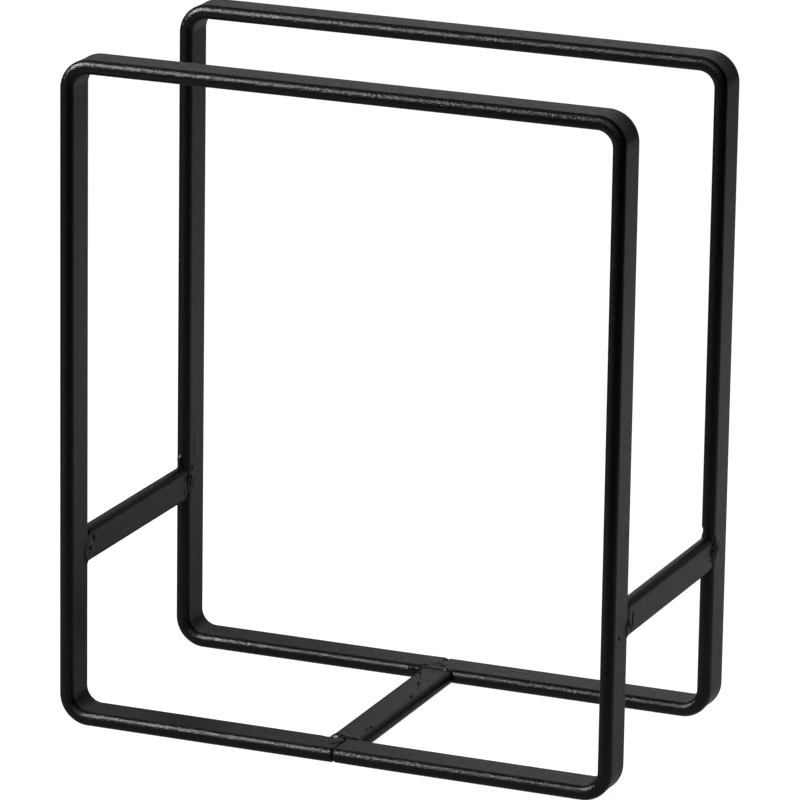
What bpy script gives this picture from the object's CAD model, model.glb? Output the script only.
import math

import bpy
import numpy as np
from mathutils import Matrix, Vector


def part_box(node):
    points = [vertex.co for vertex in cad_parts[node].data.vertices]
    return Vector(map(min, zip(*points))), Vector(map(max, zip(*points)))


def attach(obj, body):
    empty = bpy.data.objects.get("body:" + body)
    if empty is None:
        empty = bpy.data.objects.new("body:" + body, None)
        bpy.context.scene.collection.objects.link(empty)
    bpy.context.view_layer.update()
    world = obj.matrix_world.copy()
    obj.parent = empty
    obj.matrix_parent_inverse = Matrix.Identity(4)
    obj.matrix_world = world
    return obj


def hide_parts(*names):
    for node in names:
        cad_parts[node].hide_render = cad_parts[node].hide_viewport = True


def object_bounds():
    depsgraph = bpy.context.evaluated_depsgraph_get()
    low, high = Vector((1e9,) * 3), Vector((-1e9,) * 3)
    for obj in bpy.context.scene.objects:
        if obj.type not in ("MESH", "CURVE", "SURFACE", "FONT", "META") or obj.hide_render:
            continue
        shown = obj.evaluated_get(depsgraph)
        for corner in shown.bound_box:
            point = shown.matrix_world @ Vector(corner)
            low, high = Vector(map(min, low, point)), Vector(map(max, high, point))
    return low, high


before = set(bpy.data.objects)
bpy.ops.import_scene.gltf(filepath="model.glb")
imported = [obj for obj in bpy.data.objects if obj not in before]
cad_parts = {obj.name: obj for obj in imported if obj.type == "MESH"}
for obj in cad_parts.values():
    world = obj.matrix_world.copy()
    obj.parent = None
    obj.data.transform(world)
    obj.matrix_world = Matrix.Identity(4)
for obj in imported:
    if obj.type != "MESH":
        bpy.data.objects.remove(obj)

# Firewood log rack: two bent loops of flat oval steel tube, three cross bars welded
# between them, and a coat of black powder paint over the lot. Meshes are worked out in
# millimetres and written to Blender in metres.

cad_low, cad_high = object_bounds()

MM = 0.001
BODY = "root"


# ---------------------------------------------------------------- sizes, in millimetres

def node_box(node):
    low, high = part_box(node)
    return np.array(low) / MM, np.array(high) / MM


LOOP_LOW, LOOP_HIGH = node_box("front_loop")
BACK_LOW, BACK_HIGH = node_box("rear_loop")
BAR_LOW, BAR_HIGH = node_box("left_side_bar")

HALF_TUBE = (BAR_HIGH[0] - BAR_LOW[0]) / 2            # half the thickness of both tubes
LOOP_HALF_WIDTH = (LOOP_HIGH[1] - LOOP_LOW[1]) / 2    # of the loops' tube
BAR_HALF_WIDTH = (BAR_HIGH[2] - BAR_LOW[2]) / 2       # of the cross bars' tube
LOOP_Y = (BACK_LOW[1] + BACK_HIGH[1]) / 2             # middle of the rear loop
SIDE_X = (LOOP_HIGH[0] - LOOP_LOW[0]) / 2 - HALF_TUBE
BOTTOM_Z = LOOP_LOW[2] + HALF_TUBE
TOP_Z = LOOP_HIGH[2] - HALF_TUBE
SIDE_BAR_Z = (BAR_LOW[2] + BAR_HIGH[2]) / 2
BAR_END_Y = BAR_HIGH[1]

WALL = 1.2            # of both tubes
BEND_RADIUS = 16.0    # to the middle of the tube
BEND_DISH = 0.3       # how far a bend's outer face sinks in the middle

SEAM_X = 2.0          # the loop's butt seam, from its middle
SEAM_GAP = 0.9
SEAM_ROUND = 1.3      # radius of the worn edges at the seam
SEAM_STEP = 0.35      # one end of the loop stands this much proud of the other
SEAM_STEP_REACH = 12.0

REAR_GAP = 1.5        # the bars stop this far short of the rear loop's edge
REAR_CORNER = {"left": 1.0, "right": 8.0, "bottom": 1.0}    # radius at a bar's rear end
REAR_CORNER_REACH = 20.0

ARC_STEPS = 22        # facets round a half-round edge
FLAT_STEPS = 30       # across a flat face
BEND_STEPS = 30       # rings round a bend
SUPPORT = 0.35        # keeps the flats flat where they meet the round edges
FINE = 0.5            # ring spacing along the bars, and near a loop's joints and seam
COARSE = 12.0         # and elsewhere
BOTTOM_FINE = (-26.0, 28.0)                             # X of a loop's finely ringed stretches
SIDE_FINE = (SIDE_BAR_Z - 14.0, SIDE_BAR_Z + 24.0)      # and Z

DEEPEST = 1.15        # of any mark, so that it stays within the wall


# Marks that welding left in the tubes, by joint and by the face that they're measured from:
# depth (raised if negative), half width, and the line that each follows. A line's points are
# how far along the joint, into the rail and out of the face they lie, as for the beads below.
MARKS = {
    ("left_front_weld", "right"): [
        (1.0, 1.5, [(5, -5.8, 0), (2, -5.2, 0)]),
    ],
    ("right_front_weld", "right"): [    # an undercut along the bead, and a pinhole
        (1.1, 0.8, [(4, -6.8, 0), (-3, -6.0, 0), (-8, -2.8, 0), (-11, -0.2, 0)]),
        (1.5, 1.15, [(-7, 18.6, 0)]),
    ],
    ("left_rear_weld", "right"): [      # an undercut, specks, and a run on the round edge
        (1.1, 0.9, [(1, 9, 0), (-3, 7.6, 0), (-5.5, 5.5, 0), (-7, 2.5, -0.6)]),
        (-0.5, 1.0, [(11.5, 8.2, 0), (10, 8.2, 0)]),
        (0.5, 0.9, [(11.5, 5.8, 0), (9.5, 5.8, 0)]),
        (-0.45, 0.9, [(20, 10.5, 0), (27, 13, 0)]),
        (-0.6, 0.9, [(7, -4.5, 0), (3, -4.2, 0)]),
        (-0.5, 0.9, [(-2, -5, 0), (-7, -4.4, 0)]),
        (-1.9, 1.9, [(15.8, 0, -5.9)]),
        (-1.7, 1.8, [(18.4, 0.2, -6.6)]),
    ],
    ("right_rear_weld", "right"): [     # holes at the bar's end, and the rail's edge melted
        (1.2, 1.1, [(5.5, -3.8, 0), (1.5, -3.8, 0)]),
        (1.2, 1.0, [(-2.5, -3.8, 0)]),
        (2.6, 2.2, [(15.2, 3.1, -9.6)]),
    ],
    ("bottom_front_weld", "top"): [     # the rail's edge melted, and spatter on the bar
        (1.4, 2.2, [(-12.5, 1.8, -1.2)]),
        (-1.2, 0.75, [(6.4, -20.6, 0)]),
        (-1.3, 0.8, [(7.2, -25.4, 0)]),
    ],
    ("bottom_rear_weld", "top"): [      # a run, a hollow and a nick on the rail, and spatter
        (-1.2, 1.3, [(-20, 1.2, -2.2), (-18, 1.2, -2.2)]),
        (-1.0, 1.3, [(-15.2, 1.2, -2.0), (-13.6, 1.2, -1.8)]),
        (0.9, 1.5, [(-11, 4.6, 0)]),
        (1.2, 1.3, [(-2.7, 27.2, 0)]),
        (-1.2, 0.75, [(-6.7, -13.7, 0)]),
        (-1.2, 0.75, [(0.4, -34, 0)]),
        (-0.9, 0.7, [(6.6, -59.5, 0), (7.2, -64, 0)]),
    ],
}


# ---------------------------------------------------------------- weld beads, in millimetres

BEAD_GRID = 0.35      # spacing of a bead's points
BEAD_ALONG = (-12.2, 12.3)     # the stretch along the joint that the points cover
BEAD_ACROSS = (-9.0, 22.0)     # and from the bar into the rail
BEAD_OVERLAP = 0.1    # weld this little under the metal still shows its edge
BEAD_EDGE = 0.3       # how far a bead's edge dips under the metal
BEAD_UNDER = 0.7      # how far its underside lies under the metal
LUMP_SINK = 2.0       # how deep a lump of weld reaches below the faces
BLEND = 4.0           # how sharply lumps run together
BLEND_FLOOR = -8.0    # below this a lump has no part in the blend
ROOT_MIDDLE = 0.5     # of the run of weld along the groove
ROOT_REACH = 3.5      # its half width
ROOT_CURVE = 0.1      # how fast it falls away from its middle
NOWHERE = -20.0       # level of a shape where it has no weld

# Each bead: the joint's node, the face that it's on, the level of the thin run of weld along
# the bottom of the groove, then its lumps (along the joint, into the rail, half sizes, rise,
# turn), ripples (middle, half sizes, turn, waves, height) and pits (middle, half sizes, turn,
# depth). Along is up for the side bars, +X for the bottom.
PLAIN_RIPPLES = [(-7.0, 1.4, 12.0, 6.0, 0, 4.0, 0.16)]
BEADS = {
    "left_front_inner_bead": (
        "left_front_weld", "right", -0.5,
        [(-3.2, 2.0, 9.4, 8.4, 0.8, -8), (-10.0, 4.6, 2.0, 2.2, 0.8, 0)],
        [(-3.2, 2.0, 9.4, 8.4, -8, 1.6, 0.16)],
        [(-1.8, 1.2, 1.5, 1.5, 0, 1.4), (-9.6, 2.4, 1.0, 0.9, 0, 0.7)]),
    "left_front_outer_bead": (
        "left_front_weld", "left", -0.8,
        [(-4.0, 1.2, 6.0, 5.4, 1.0, 0), (3.5, 1.6, 6.0, 5.0, 0.9, 0)], PLAIN_RIPPLES, []),
    "right_front_outer_bead": (
        "right_front_weld", "right", -0.3,
        [(-4.4, 1.6, 7.8, 5.2, 0.9, -22)],
        [(-4.0, 1.6, 8.0, 6.0, -22, 1.6, 0.16)],
        [(-1.4, 2.0, 1.5, 1.1, 0, 1.4)]),
    "right_front_inner_bead": (
        "right_front_weld", "left", -0.8,
        [(-3.5, 1.4, 6.4, 5.2, 1.0, 0), (4.5, 1.2, 5.0, 4.8, 0.8, 0)], PLAIN_RIPPLES, []),
    "left_rear_inner_bead": (
        "left_rear_weld", "right", -2.4,
        [(-0.4, 4.8, 6.4, 3.6, 1.0, 14), (3.0, 0.8, 3.4, 1.5, 0.9, 0),
         (-1.0, 0.6, 2.4, 1.3, 0.4, 0)],
        [(0.0, -4.0, 16.0, 11.0, 8, 3.2, 0.28)],
        [(1.0, 2.8, 3.0, 0.8, 6, 0.9)]),
    "left_rear_outer_bead": (
        "left_rear_weld", "left", -1.5,
        [(-3.0, 1.4, 6.6, 5.4, 1.0, 0), (5.0, 2.0, 6.0, 4.6, 1.0, 0)], PLAIN_RIPPLES, []),
    "right_rear_outer_bead": (
        "right_rear_weld", "right", -3.0,
        [(3.0, 7.0, 9.6, 8.0, 1.0, 0), (3.0, 7.4, 6.6, 2.2, 1.5, -8),
         (6.4, -0.3, 2.6, 1.5, 1.4, 0), (2.4, -0.4, 2.4, 1.4, 1.3, 0),
         (-0.8, -0.2, 2.0, 1.3, 0.9, 0)],
        [(3.0, 6.6, 9.4, 8.0, 0, 1.0, 0.12)],
        [(4.6, 2.4, 5.6, 1.3, -8, 3.2), (3.0, 9.2, 5.0, 2.0, 0, 0.7),
         (-4.6, 2.4, 2.2, 1.4, 0, 2.0)]),
    "right_rear_inner_bead": (
        "right_rear_weld", "left", -1.5,
        [(-4.0, 1.2, 5.6, 5.4, 1.0, 0), (4.0, 1.6, 6.4, 5.0, 1.0, 0)], PLAIN_RIPPLES, []),
    "bottom_front_bead": (
        "bottom_front_weld", "top", -0.6,
        [(-3.6, 0.6, 7.4, 6.0, 1.5, 0), (-3.0, 9.5, 4.4, 9.6, 0.9, 8),
         (6.4, 0.8, 6.4, 3.2, 0.9, 0)],
        [(-6.0, 0.6, 9.0, 6.0, 0, 2.2, 0.26)],
        [(-6.4, 5.0, 2.2, 1.3, 0, 0.9), (1.4, 4.4, 2.4, 1.1, 0, 0.8)]),
    "bottom_rear_bead": (
        "bottom_rear_weld", "top", -0.6,
        [(-3.4, 11.0, 7.0, 7.6, 0.8, 0), (-1.0, 1.6, 11.0, 2.8, 0.5, 0),
         (6.8, 0.4, 1.8, 1.8, 1.3, 0)],
        [(-4.6, 16.0, 7.0, 8.0, 0, 1.6, 0.26)],
        [(-8.0, 5.6, 2.6, 1.8, 0, 1.1), (2.6, 6.4, 2.0, 1.4, 0, 0.9)]),
}


# ---------------------------------------------------------------- powder coat

PAINT_IOR = 1.5
PAINT_ROUGHNESS = 0.21
ROUGHNESS_SPREAD = 0.03
DARKEST_PAINT = (0.0010, 0.0010, 0.0010, 1.0)
LIGHTEST_PAINT = (0.0150, 0.0150, 0.0153, 1.0)
TUBE_PEEL = 0.37      # depth of the orange peel, in millimetres
WELD_PEEL = 0.25
GRAIN_SHARE = 0.12    # depth of the grain, as a share of the peel's
PEEL_SCALE = 800.0    # noise scales, in noise cells per metre
GRAIN_SCALE = 1600.0
PATCH_SCALE = 90.0


# ---------------------------------------------------------------- stage, in metres

FLOOR_COLOUR = (0.3, 0.3, 0.3)
FLOOR_GLOW = 0.98
FLOOR_RADIUS = 9.0
COVE_RADIUS = 3.0     # of the floor's turn up into the wall
WALL_TOP = 9.0
TABLE_POOLS = [   # x, y, radius and level, on the floor
    (-0.7, -0.6, 0.4, 0.4),    # in front, on the left
    (0.0, -0.2, 0.6, 0.12),    # under the rack
    (0.7, 0.1, 0.5, 0.15),     # on the right
    (0.2, 0.9, 0.7, 0.3),      # behind
    (1.3, 1.2, 0.45, 0.4),     # behind, on the right
    (2.2, 2.5, 0.9, 1.2),      # far behind, on the right
]
SKY_POOLS = [     # degrees round from +X, degrees up, radius and level
    (95, 15, 0.5, 0.2),        # behind, low
    (270, 48, 0.4, 1.2),       # in front, high
]
SOFT_BOXES = [    # direction, distance, width, height, radiance, target
    ((-0.37, -0.46, 0.81), 1.3, 0.55, 0.50, 7.0, (-0.24, -0.11, 0.24)),
    ((-0.37, -0.54, 0.76), 1.3, 0.55, 0.40, 2.5, (-0.24, -0.11, 0.24)),
    ((-0.72, -0.32, 0.62), 1.3, 0.50, 0.50, 20.0, (-0.20, -0.11, 0.26)),
]
CARD_RADIANCE = 0.27
CARDS = [         # middle of each; they stand behind the rack
    (-0.75, 1.25, 0.75),
    (-0.25, 1.25, 0.15),
    (-0.25, 1.25, 0.75),
]
CARD_SIZE = (0.5, 0.3)
CARD_TARGET = (0.0, 0.0, 0.3)


# ---------------------------------------------------------------- tube meshes

def oval(half_flat, radius):
    """Points and outward normals round a flat oval. Its flats lie at q = +radius and
    q = -radius, and run along p."""
    inner = half_flat - SUPPORT
    flat = np.concatenate([[-half_flat], np.linspace(-inner, inner, FLAT_STEPS), [half_flat]])
    turn = np.linspace(math.pi / 2, -math.pi / 2, ARC_STEPS + 1)[1:-1]
    top = np.stack([flat, np.full_like(flat, radius)], axis=1)
    right = np.stack([half_flat + radius * np.cos(turn), radius * np.sin(turn)], axis=1)
    points = np.concatenate([top, right, -top, -right])
    up = np.tile([0.0, 1.0], (len(flat), 1))
    out = np.stack([np.cos(turn), np.sin(turn)], axis=1)
    normals = np.concatenate([up, out, -up, -out])
    return points, normals


def steps(start, end, fine_zones):
    """Ring positions along a straight run, close together inside the fine zones."""
    marks = sorted({start, end, *[min(max(v, start), end) for zone in fine_zones for v in zone]})
    places = [start]
    for low, high in zip(marks, marks[1:]):
        fine = any(zone[0] <= (low + high) / 2 <= zone[1] for zone in fine_zones)
        count = max(1, math.ceil((high - low) / (FINE if fine else COARSE)))
        places += list(np.linspace(low, high, count + 1)[1:])
    return np.array(places)


def new_piece(name, points, faces, material, replaced):
    """A smooth-shaded mesh piece from points in millimetres, on the rack's body."""
    mesh = bpy.data.meshes.new(name)
    mesh.from_pydata((np.asarray(points) * MM).tolist(), [], faces)
    mesh.validate()
    mesh.polygons.foreach_set("use_smooth", [True] * len(mesh.polygons))
    mesh.materials.append(material)
    mesh.update()
    piece = bpy.data.objects.new(name, mesh)
    bpy.context.scene.collection.objects.link(piece)
    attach(piece, BODY)
    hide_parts(replaced)
    return piece


def joint_frame(node, face):
    """Where a joint's middle is on one face, and the directions along the joint, into the
    rail and out of the face. Along is up for the side bars, and +X for the bottom one."""
    rear = 1.0 if "rear" in node else -1.0
    if face == "top":
        origin = (0.0, rear * BAR_END_Y, BOTTOM_Z + HALF_TUBE)
        along, out = (1.0, 0.0, 0.0), (0.0, 0.0, 1.0)
    else:
        out_x = 1.0 if face == "right" else -1.0
        x = (-SIDE_X if "left" in node else SIDE_X) + out_x * HALF_TUBE
        origin = (x, rear * BAR_END_Y, SIDE_BAR_Z)
        along, out = (0.0, 0.0, 1.0), (out_x, 0.0, 0.0)
    return tuple(np.array(v) for v in (origin, along, (0.0, rear, 0.0), out))


def mark_depths(points):
    """How far the marks press each point in."""
    depths = np.zeros(len(points))
    for (node, face), marks in MARKS.items():
        origin, *directions = joint_frame(node, face)
        for depth, half_width, places in marks:
            line = origin + np.array(places) @ np.stack(directions)
            nearest = np.linalg.norm(points - line[0], axis=1)
            for start, end in zip(line, line[1:]):
                run = end - start
                share = np.clip((points - start) @ run / (run @ run), 0.0, 1.0)
                away = np.linalg.norm(points - start - share[:, None] * run, axis=1)
                nearest = np.minimum(nearest, away)
            depths += depth * np.exp(-(nearest / half_width) ** 3)
    return np.minimum(depths, DEEPEST)


def tube_faces(rings, bore_rings, around):
    """Quads of an open-ended tube with a bore: the outer skin, the bore and the two
    ring-shaped ends. Outer rings come first, then the bore's."""
    faces = []
    bore = rings * around
    for i in range(rings - 1):
        for j in range(around):
            a, b = i * around + j, i * around + (j + 1) % around
            faces.append((a, b, b + around, a + around))
    for i in range(bore_rings - 1):
        for j in range(around):
            a, b = bore + i * around + j, bore + i * around + (j + 1) % around
            faces.append((a, a + around, b + around, b))
    last, bore_last = (rings - 1) * around, bore + (bore_rings - 1) * around
    for j in range(around):
        k = (j + 1) % around
        faces.append((j, bore + j, bore + k, k))
        faces.append((last + j, last + k, bore_last + k, bore_last + j))
    return faces


def bend(centre_x, centre_z, from_degrees):
    stations = []
    for i in range(1, BEND_STEPS + 1):
        share = i / BEND_STEPS
        angle = math.radians(from_degrees + 90 * share)
        out_x, out_z = math.cos(angle), math.sin(angle)
        stations.append((centre_x + BEND_RADIUS * out_x, centre_z + BEND_RADIUS * out_z,
                         out_x, out_z, math.sin(math.pi * share) ** 2))
    return stations


def loop_stations(fine):
    """The line down the middle of a loop's tube, from the seam and round to the seam.
    Each station is x, z, and the outward normal's x and z, and how far into a bend it is."""
    stations = []
    left, right = -SIDE_X, SIDE_X
    bottom = [BOTTOM_FINE] if fine else []
    side = [SIDE_FINE] if fine else []
    corner = BEND_RADIUS
    lip = SEAM_ROUND * np.array([0.0, 0.12, 0.3, 0.6])    # rings round the worn seam edge
    start, end = SEAM_X + SEAM_GAP / 2, SEAM_X - SEAM_GAP / 2
    for x in lip if fine else []:
        stations.append((start + x, BOTTOM_Z, 0, -1, 0))
    for x in steps(start + SEAM_ROUND if fine else start, right - corner, bottom):
        stations.append((x, BOTTOM_Z, 0, -1, 0))
    stations += bend(right - corner, BOTTOM_Z + corner, -90)
    for z in steps(BOTTOM_Z + corner, TOP_Z - corner, side)[1:]:
        stations.append((right, z, 1, 0, 0))
    stations += bend(right - corner, TOP_Z - corner, 0)
    for x in -steps(-right + corner, -left - corner, [])[1:]:
        stations.append((x, TOP_Z, 0, 1, 0))
    stations += bend(left + corner, TOP_Z - corner, 90)
    for z in -steps(-TOP_Z + corner, -BOTTOM_Z - corner, [(-b, -a) for a, b in side])[1:]:
        stations.append((left, z, -1, 0, 0))
    stations += bend(left + corner, BOTTOM_Z + corner, 180)
    for x in steps(left + corner, end - SEAM_ROUND if fine else end, bottom)[1:]:
        stations.append((x, BOTTOM_Z, 0, -1, 0))
    for x in lip[::-1] if fine else []:
        stations.append((end - x, BOTTOM_Z, 0, -1, 0))
    return np.array(stations, float)


def build_loop(name, y, turned, material):
    half_flat = LOOP_HALF_WIDTH - HALF_TUBE
    outer, outward = oval(half_flat, HALF_TUBE)
    bore, _ = oval(half_flat, HALF_TUBE - WALL)
    stations, bore_stations = loop_stations(True), loop_stations(False)
    side = -1.0 if turned else 1.0

    def place(places, p, q):
        """Points at p across the tube and q out from its middle, ring by ring."""
        x = places[:, None, 0] + q * places[:, None, 2]
        z = places[:, None, 1] + q * places[:, None, 3]
        return np.stack([side * x, y + side * p + 0 * x, z], axis=2).reshape(-1, 3)

    p = np.broadcast_to(outer[None, :, 0], (len(stations), len(outer))).copy()
    q = np.broadcast_to(outer[None, :, 1], p.shape).copy()
    out_p, out_q = outward[None, :, 0], outward[None, :, 1]
    dish = 1 - (np.clip(np.abs(p), 0, half_flat) / half_flat) ** 2
    q -= BEND_DISH * stations[:, None, 4] * dish * (out_q > 0.999)
    gaps = np.abs(stations[:, 0] - SEAM_X) - SEAM_GAP / 2
    at_seam = (np.abs(stations[:, 1] - BOTTOM_Z) < 1e-6) & (gaps < SEAM_ROUND)
    short = np.where(at_seam, SEAM_ROUND - gaps, 0.0)
    worn = (SEAM_ROUND - np.sqrt(np.maximum(SEAM_ROUND ** 2 - short ** 2, 0.0)))[:, None]
    p -= worn * out_p
    q -= worn * out_q
    rise = np.exp(-np.maximum(stations[:, 0] - SEAM_X, 0.0) / SEAM_STEP_REACH)
    on_rail = (stations[:, 0] > SEAM_X) & (np.abs(stations[:, 1] - BOTTOM_Z) < 1e-6)
    q -= (SEAM_STEP * rise * on_rail)[:, None]

    points = place(stations, p, q)
    normals = np.stack([side * out_q * stations[:, None, 2],
                        side * out_p + 0 * stations[:, None, 2],
                        out_q * stations[:, None, 3]], axis=2).reshape(-1, 3)
    points -= mark_depths(points)[:, None] * normals
    inside = place(bore_stations, bore[None, :, 0], bore[None, :, 1])
    faces = tube_faces(len(stations), len(bore_stations), len(outer))
    return new_piece(name, np.concatenate([points, inside]), faces, material,
                     name.replace("_skin", ""))


def build_bar(name, centre, across, up, rear_corner, material):
    """A cross bar along Y. across and up are the directions of its section's width and
    thickness. rear_corner is the radius of its rear end's lower corner."""
    half_flat = BAR_HALF_WIDTH - HALF_TUBE
    outer, outward = oval(half_flat, HALF_TUBE)
    bore, _ = oval(half_flat, HALF_TUBE - WALL)
    rear_end = BAR_END_Y - REAR_GAP
    places = steps(-BAR_END_Y, rear_end, [(-BAR_END_Y, rear_end)])
    bore_places = steps(-BAR_END_Y, rear_end, [])
    along = np.array([0.0, 1.0, 0.0])
    across, up, centre = (np.array(v, float) for v in (across, up, centre))

    def rings(section, where):
        corner = np.clip(-section[:, 0] - BAR_HALF_WIDTH + rear_corner, 0, rear_corner)
        back = rear_corner - np.sqrt(rear_corner ** 2 - corner ** 2)
        near_end = np.clip(1 + (where - rear_end) / REAR_CORNER_REACH, 0, 1) ** 3
        y = where[:, None] - near_end[:, None] * back[None, :]
        return (centre + y[:, :, None] * along + section[None, :, 0, None] * across
                + section[None, :, 1, None] * up).reshape(-1, 3)

    normals = np.tile(outward[:, :1] * across + outward[:, 1:] * up, (len(places), 1))
    points = rings(outer, places)
    points -= mark_depths(points)[:, None] * normals
    faces = tube_faces(len(places), len(bore_places), len(outer))
    return new_piece(name, np.concatenate([points, rings(bore, bore_places)]), faces, material,
                     name.replace("_skin", ""))


# ---------------------------------------------------------------- weld meshes

def round_drop(past_flat):
    """How far a half-round edge falls below its flat, this far past the flat's end."""
    past = np.clip(past_flat, 0.0, HALF_TUBE)
    return HALF_TUBE - np.sqrt(HALF_TUBE ** 2 - past ** 2)


def bare_metal(along, into_rail, gap):
    """Level of the metal under a bead: the bar's face, the open groove between the bar's
    square end and the rail's round edge, and the rail's face."""
    bar = -round_drop(np.abs(along) - (BAR_HALF_WIDTH - HALF_TUBE))
    rail = -round_drop(HALF_TUBE - into_rail)
    return np.where(into_rail < -gap, bar, rail)


def fair_level(along, into_rail):
    """Level of a smooth skin drawn over the groove, from the bar's round edges to the
    rail's flat."""
    share = np.clip(into_rail / HALF_TUBE, 0.0, 1.0)
    return -(1 - share) * round_drop(np.abs(along) - (BAR_HALF_WIDTH - HALF_TUBE))


def turned_distance(along, into_rail, centre_a, centre_b, half_a, half_b, turn):
    """Distance from an ellipse's middle, 1 at its rim."""
    c, s = math.cos(math.radians(turn)), math.sin(math.radians(turn))
    a, b = along - centre_a, into_rail - centre_b
    return np.hypot((a * c + b * s) / half_a, (b * c - a * s) / half_b)


def lump(along, into_rail, centre_a, centre_b, half_a, half_b, rise, turn):
    """Top of an ellipsoid whose outline at the faces' level is the given ellipse, and whose
    lower part fills the groove."""
    reach = turned_distance(along, into_rail, centre_a, centre_b, half_a, half_b, turn)
    full = rise + LUMP_SINK
    narrowing = 1 - (LUMP_SINK / full) ** 2
    inside = 1 - narrowing * reach ** 2
    return np.where(inside > 0.0, full * np.sqrt(np.maximum(inside, 0.0)) - LUMP_SINK, NOWHERE)


def build_bead(name, node, frame_there, gap, root_level, lumps, ripples, pits, material):
    """A closed mesh of weld metal on one face of a joint."""
    a, b = np.meshgrid(np.arange(*BEAD_ALONG, BEAD_GRID), np.arange(*BEAD_ACROSS, BEAD_GRID),
                       indexing="ij")
    metal = bare_metal(a, b, gap)
    root = root_level - ROOT_CURVE * (b - ROOT_MIDDLE) ** 2
    root = np.where(np.abs(b - ROOT_MIDDLE) < ROOT_REACH, root, NOWHERE)
    tops = np.stack([root] + [lump(a, b, *shape) for shape in lumps])
    top = np.log(np.exp(BLEND * np.maximum(tops, BLEND_FLOOR)).sum(axis=0)) / BLEND
    top += fair_level(a, b)
    for centre_a, centre_b, half_a, half_b, turn, waves, height in ripples:
        reach = turned_distance(a, b, centre_a, centre_b, half_a, half_b, turn)
        top += height * np.cos(2 * math.pi * waves * reach) * np.exp(-reach ** 4)
    for centre_a, centre_b, half_a, half_b, turn, depth in pits:
        reach = turned_distance(a, b, centre_a, centre_b, half_a, half_b, turn)
        top -= depth * np.exp(-reach ** 2)

    shown = top > metal - BEAD_OVERLAP
    cells = shown[:-1, :-1] | shown[1:, :-1] | shown[:-1, 1:] | shown[1:, 1:]
    top = np.maximum(top, metal - BEAD_EDGE)
    under = metal - BEAD_UNDER
    rows, columns = top.shape
    origin, along, into_rail, out = frame_there
    flat = (origin + a[:, :, None] * along + b[:, :, None] * into_rail).reshape(-1, 3)
    points = np.concatenate([flat + top.reshape(-1, 1) * out, flat + under.reshape(-1, 1) * out])
    lower = rows * columns
    flip = np.dot(np.cross(along, into_rail), out) < 0

    def cell(i, j):
        return 0 <= i < rows - 1 and 0 <= j < columns - 1 and cells[i, j]

    faces = []
    for i in range(rows - 1):
        for j in range(columns - 1):
            if not cells[i, j]:
                continue
            corner = i * columns + j
            ring = [corner, corner + columns, corner + columns + 1, corner + 1]
            faces.append(ring)
            faces.append([lower + v for v in reversed(ring)])
            beyond = [cell(i, j - 1), cell(i + 1, j), cell(i, j + 1), cell(i - 1, j)]
            for k in range(4):
                if not beyond[k]:
                    start, end = ring[k], ring[(k + 1) % 4]
                    faces.append([start, lower + start, lower + end, end])
    used = sorted({v for face in faces for v in face})
    number = {v: i for i, v in enumerate(used)}
    faces = [tuple(number[v] for v in (reversed(face) if flip else face)) for face in faces]
    return new_piece(name, points[used], faces, material, node)


def build_welds(material):
    for name, (node, face, root_level, lumps, ripples, pits) in BEADS.items():
        gap = REAR_GAP if "rear" in node else 0.0
        build_bead(name, node, joint_frame(node, face), gap, root_level, lumps, ripples, pits,
                   material)


# ---------------------------------------------------------------- paint

def powder_coat(name, roughness, peel_depth):
    """Semi-gloss black powder paint: nearly black, with orange peel and a fine grain."""
    material = bpy.data.materials.new(name)
    material.use_nodes = True
    nodes, links = material.node_tree.nodes, material.node_tree.links
    nodes.clear()
    output = nodes.new("ShaderNodeOutputMaterial")
    shader = nodes.new("ShaderNodeBsdfPrincipled")
    links.new(shader.outputs["BSDF"], output.inputs["Surface"])
    shader.inputs["IOR"].default_value = PAINT_IOR
    where = nodes.new("ShaderNodeTexCoord").outputs["Object"]

    def noise(scale, detail):
        node = nodes.new("ShaderNodeTexNoise")
        node.inputs["Scale"].default_value = scale
        node.inputs["Detail"].default_value = detail
        links.new(where, node.inputs["Vector"])
        return node.outputs["Fac"]

    def spread(value, low, high):
        node = nodes.new("ShaderNodeMapRange")
        node.inputs["From Min"].default_value = 0.3
        node.inputs["From Max"].default_value = 0.7
        node.inputs["To Min"].default_value = low
        node.inputs["To Max"].default_value = high
        links.new(value, node.inputs["Value"])
        return node.outputs["Result"]

    peel = noise(PEEL_SCALE, 1.0)
    grain = noise(GRAIN_SCALE, 1.0)
    patches = noise(PATCH_SCALE, 3.0)

    tone = nodes.new("ShaderNodeMix")
    tone.data_type = "RGBA"
    links.new(spread(grain, 0.0, 1.0), tone.inputs["Factor"])
    tone.inputs["A"].default_value = DARKEST_PAINT
    tone.inputs["B"].default_value = LIGHTEST_PAINT
    links.new(tone.outputs["Result"], shader.inputs["Base Color"])
    patchy = spread(patches, roughness - ROUGHNESS_SPREAD, roughness + ROUGHNESS_SPREAD)
    links.new(patchy, shader.inputs["Roughness"])

    coarse = nodes.new("ShaderNodeBump")
    coarse.inputs["Distance"].default_value = peel_depth * MM
    coarse.inputs["Strength"].default_value = 1.0
    links.new(peel, coarse.inputs["Height"])
    fine = nodes.new("ShaderNodeBump")
    fine.inputs["Distance"].default_value = GRAIN_SHARE * peel_depth * MM
    fine.inputs["Strength"].default_value = 1.0
    links.new(grain, fine.inputs["Height"])
    links.new(coarse.outputs["Normal"], fine.inputs["Normal"])
    links.new(fine.outputs["Normal"], shader.inputs["Normal"])
    return material


tube_paint = powder_coat("powder_coat_tube", PAINT_ROUGHNESS, TUBE_PEEL)
weld_paint = powder_coat("powder_coat_weld", PAINT_ROUGHNESS, WELD_PEEL)

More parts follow.
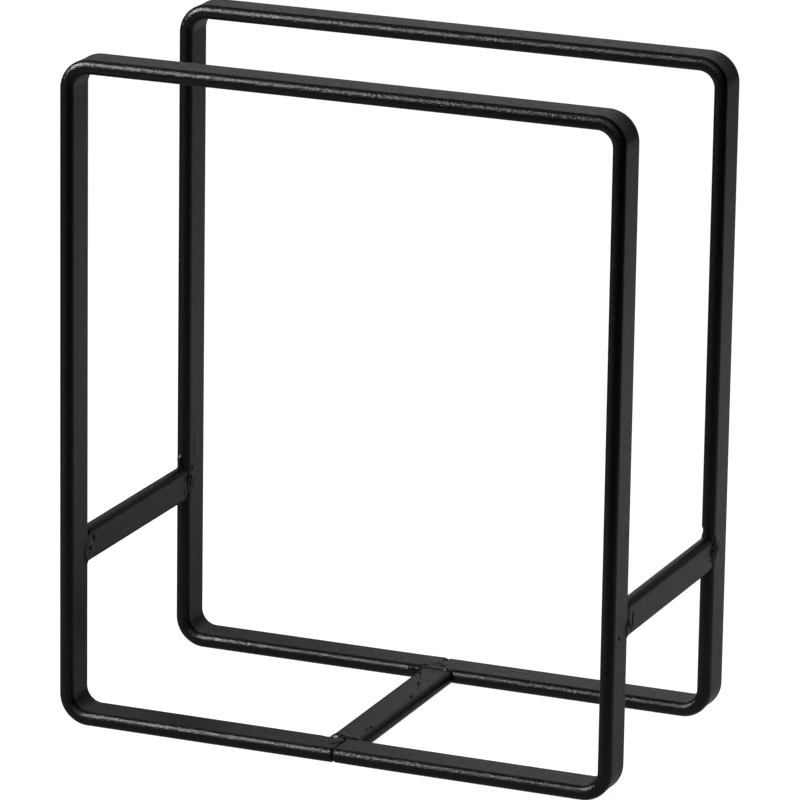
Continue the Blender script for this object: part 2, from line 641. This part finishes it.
build_loop("front_loop_skin", -LOOP_Y, False, tube_paint)
build_loop("rear_loop_skin", LOOP_Y, True, tube_paint)
for side_name, x in (("left", -SIDE_X), ("right", SIDE_X)):
    build_bar(f"{side_name}_side_bar_skin", (x, 0, SIDE_BAR_Z), (0, 0, 1), (-1, 0, 0),
              REAR_CORNER[side_name], tube_paint)
build_bar("bottom_bar_skin", (0, 0, BOTTOM_Z), (1, 0, 0), (0, 0, 1), REAR_CORNER["bottom"],
          tube_paint)
build_welds(weld_paint)


# ---------------------------------------------------------------- floor, lights, camera

def glowing_material(name, colour, glow):
    """A matt material with a glow of its own. Returns the material and its shader."""
    material = bpy.data.materials.new(name)
    material.use_nodes = True
    shader = material.node_tree.nodes["Principled BSDF"]
    shader.inputs["Base Color"].default_value = (*colour, 1.0)
    shader.inputs["Roughness"].default_value = 0.9
    shader.inputs["Specular IOR Level"].default_value = 0.0
    shader.inputs["Emission Color"].default_value = (1.0, 1.0, 1.0, 1.0)
    shader.inputs["Emission Strength"].default_value = glow
    return material, shader


def round_sheet(name, profile, around, material):
    """A stage surface turned round Z from (radius, height) pairs, in metres."""
    points = [(0.0, 0.0, profile[0][1])]
    for radius, z in profile[1:]:
        for j in range(around):
            turn = 2 * math.pi * j / around
            points.append((radius * math.cos(turn), radius * math.sin(turn), z))
    faces = [(0, 1 + j, 1 + (j + 1) % around) for j in range(around)]
    for i in range(len(profile) - 2):
        for j in range(around):
            a, b = 1 + i * around + j, 1 + i * around + (j + 1) % around
            faces.append((a, a + around, b + around, b))
    mesh = bpy.data.meshes.new(name)
    mesh.from_pydata(points, [], faces)
    mesh.polygons.foreach_set("use_smooth", [True] * len(mesh.polygons))
    mesh.materials.append(material)
    sheet = bpy.data.objects.new(name, mesh)
    bpy.context.scene.collection.objects.link(sheet)
    return sheet


def studio_floor():
    """A pale round floor that turns up into a wall all the way round, far from the rack.
    It glows a little, so that it stays evenly pale, and the gloss doesn't see it."""
    profile = [(0.0, 0.0), (2.0, 0.0), (5.0, 0.0)]
    cove_steps = 12
    for i in range(cove_steps + 1):
        angle = math.pi / 2 * i / cove_steps
        profile.append((FLOOR_RADIUS + COVE_RADIUS * math.sin(angle),
                        COVE_RADIUS * (1 - math.cos(angle))))
    profile.append((FLOOR_RADIUS + COVE_RADIUS, WALL_TOP))
    material, _ = glowing_material("pale_floor", FLOOR_COLOUR, FLOOR_GLOW)
    floor = round_sheet("studio_floor", profile, 96, material)
    floor.visible_glossy = False
    floor.visible_diffuse = False


def add_pool(nodes, links, where, middle, radius, level, total):
    """Adds a soft round pool, level high in its middle, to a total. Returns the new total."""
    away = nodes.new("ShaderNodeVectorMath")
    away.operation = "DISTANCE"
    away.inputs[1].default_value = middle
    links.new(where, away.inputs[0])
    share = nodes.new("ShaderNodeMath")
    share.operation = "DIVIDE"
    share.inputs[1].default_value = radius
    links.new(away.outputs["Value"], share.inputs[0])
    squared = nodes.new("ShaderNodeMath")
    squared.operation = "POWER"
    squared.inputs[1].default_value = 2.0
    links.new(share.outputs[0], squared.inputs[0])
    fade = nodes.new("ShaderNodeMath")
    fade.operation = "MULTIPLY"
    fade.inputs[1].default_value = -1.0
    links.new(squared.outputs[0], fade.inputs[0])
    pool = nodes.new("ShaderNodeMath")
    pool.operation = "EXPONENT"
    links.new(fade.outputs[0], pool.inputs[0])
    add = nodes.new("ShaderNodeMath")
    add.operation = "MULTIPLY_ADD"
    add.inputs[1].default_value = level
    add.inputs[2].default_value = 0.0
    links.new(pool.outputs[0], add.inputs[0])
    if total:
        links.new(total, add.inputs[2])
    return add.outputs[0]


def table_glow():
    """What the gloss sees of the surface that the rack stands on: a dark sheet with soft
    pools of light."""
    material, shader = glowing_material("table_glow", (0.0, 0.0, 0.0), 1.0)
    nodes, links = material.node_tree.nodes, material.node_tree.links
    where = nodes.new("ShaderNodeTexCoord").outputs["Object"]
    total = None
    for x, y, radius, level in TABLE_POOLS:
        total = add_pool(nodes, links, where, (x, y, 0.0), radius, level, total)
    links.new(total, shader.inputs["Emission Strength"])
    material.cycles.emission_sampling = "NONE"
    sheet = round_sheet("table_glow", [(0.0, -0.002), (1.0, -0.002), (4.0, -0.002)], 48, material)
    sheet.visible_camera = False
    sheet.visible_diffuse = False
    sheet.visible_shadow = False


def soft_box(name, direction, distance, width, height, radiance, target):
    """A soft box that looks at the target. radiance is what it shows in a mirror."""
    lamp = bpy.data.lights.new(name, "AREA")
    lamp.shape = "RECTANGLE"
    lamp.size = width
    lamp.size_y = height
    lamp.energy = radiance * math.pi * width * height
    light = bpy.data.objects.new(name, lamp)
    bpy.context.scene.collection.objects.link(light)
    towards = Vector(direction).normalized()
    light.location = Vector(target) + distance * towards
    light.rotation_mode = "QUATERNION"
    light.rotation_quaternion = (-towards).to_track_quat("-Z", "Y")
    light.visible_camera = False


def studio_world():
    """What the gloss sees above the floor: dark, with soft pools of light."""
    world = bpy.data.worlds.new("studio")
    bpy.context.scene.world = world
    world.use_nodes = True
    nodes, links = world.node_tree.nodes, world.node_tree.links
    nodes.clear()
    output = nodes.new("ShaderNodeOutputWorld")
    background = nodes.new("ShaderNodeBackground")
    links.new(background.outputs[0], output.inputs[0])
    where = nodes.new("ShaderNodeTexCoord").outputs["Generated"]
    total = None
    for azimuth, elevation, radius, level in SKY_POOLS:
        turn, rise = math.radians(azimuth), math.radians(elevation)
        middle = (math.cos(rise) * math.cos(turn), math.cos(rise) * math.sin(turn), math.sin(rise))
        total = add_pool(nodes, links, where, middle, radius, level, total)
    links.new(total, background.inputs["Strength"])
    background.inputs["Color"].default_value = (1.0, 1.0, 1.0, 1.0)


def camera():
    """A long lens, a little above and to the right of the rack."""
    azimuth, elevation, distance, roll = 0.3907, 0.2757, 4.278, 0.0153
    middle = (Vector(cad_low) + Vector(cad_high)) / 2
    target = middle + Vector((0.0023, 0.0, -0.0065))
    back = Vector((math.sin(azimuth) * math.cos(elevation),
                   -math.cos(azimuth) * math.cos(elevation),
                   math.sin(elevation)))
    data = bpy.data.cameras.new("camera")
    data.sensor_width = 36.0
    data.lens = 286.26
    data.clip_start, data.clip_end = 0.1, 100.0
    eye = bpy.data.objects.new("camera", data)
    bpy.context.scene.collection.objects.link(eye)
    right = (-back).cross(Vector((0, 0, 1))).normalized()
    up = right.cross(-back)
    rolled_right = math.cos(roll) * right + math.sin(roll) * up
    rolled_up = -math.sin(roll) * right + math.cos(roll) * up
    turn = Matrix((rolled_right, rolled_up, back)).transposed()
    eye.matrix_world = Matrix.Translation(target + distance * back) @ turn.to_4x4()
    bpy.context.scene.camera = eye


studio_floor()
table_glow()
studio_world()
for i, (direction, distance, width, height, radiance, target) in enumerate(SOFT_BOXES):
    soft_box(f"soft_box_{i + 1}", direction, distance, width, height, radiance, target)
for i, middle in enumerate(CARDS):
    direction = Vector(middle) - Vector(CARD_TARGET)
    soft_box(f"card_{i + 1}", direction, direction.length, *CARD_SIZE, CARD_RADIANCE, CARD_TARGET)
camera()
bpy.context.scene.view_settings.view_transform = "Standard"
